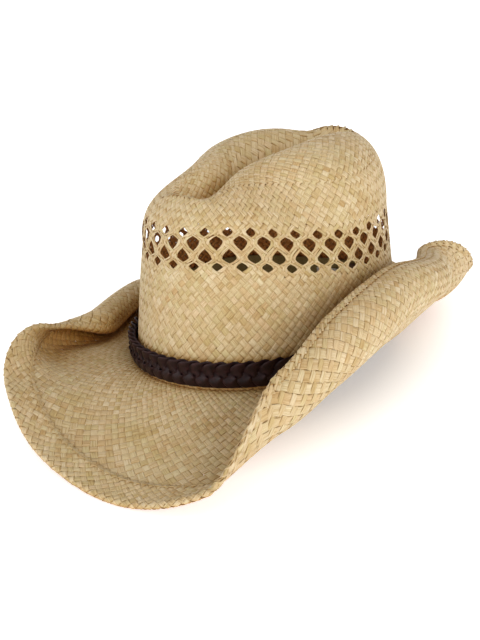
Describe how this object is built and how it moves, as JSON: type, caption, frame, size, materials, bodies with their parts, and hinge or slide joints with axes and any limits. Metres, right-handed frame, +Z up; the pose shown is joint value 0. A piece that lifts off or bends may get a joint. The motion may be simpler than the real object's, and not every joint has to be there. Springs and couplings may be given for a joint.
{
  "type": "straw cowboy hat",
  "caption": "Woven straw cowboy hat with a creased crown, a vented honeycomb wall, a wire-edged brim rolled up at both sides and a braided leather hatband that lifts off.",
  "frame": {"origin": "centre of the bounding box in plan, on the surface the brim rests on", "axes": "+Z up from the table, -Y towards the hat's front, +X towards the wearer's left; the crown's own axis leans about 5 degrees from +Z because the hat rests on its brim"},
  "size_m": [0.258, 0.379, 0.1578],
  "materials": {
    "straw": "natural woven raffia, matt with a faint straw sheen",
    "straw_hem": "natural woven raffia, folded and sewn",
    "straw_thread": "matt twisted thread",
    "wire": "plain drawn wire",
    "sweatband_cloth": "soft matt ribbed cloth",
    "reed": "matt",
    "thread": "matt twisted thread",
    "tab_leather": "smooth",
    "label": "woven, matt, no print",
    "hatband_leather": "waxed, low gloss, darker at the edges"
  },
  "bodies": {
    "hat": {"crown": "straw", "brim": "straw", "brim_hem": "straw_hem", "brim_wire": "wire", "hem_thread": "straw_thread", "sweatband": "sweatband_cloth", "sweatband_reed": "reed", "sweatband_thread": "thread", "sweatband_seam_tab": "tab_leather", "size_label": "label"},
    "hatband": {"hatband_strand_1": "hatband_leather", "hatband_strand_2": "hatband_leather", "hatband_strand_3": "hatband_leather", "hatband_keeper": "hatband_leather"}
  },
  "joints": [
    {"name": "hatband_lift", "type": "slide", "parent": "hat", "child": "hatband", "axis": [-0.1059, 0.0594, 0.9926], "range_m": [0, 0.165]}
  ]
}
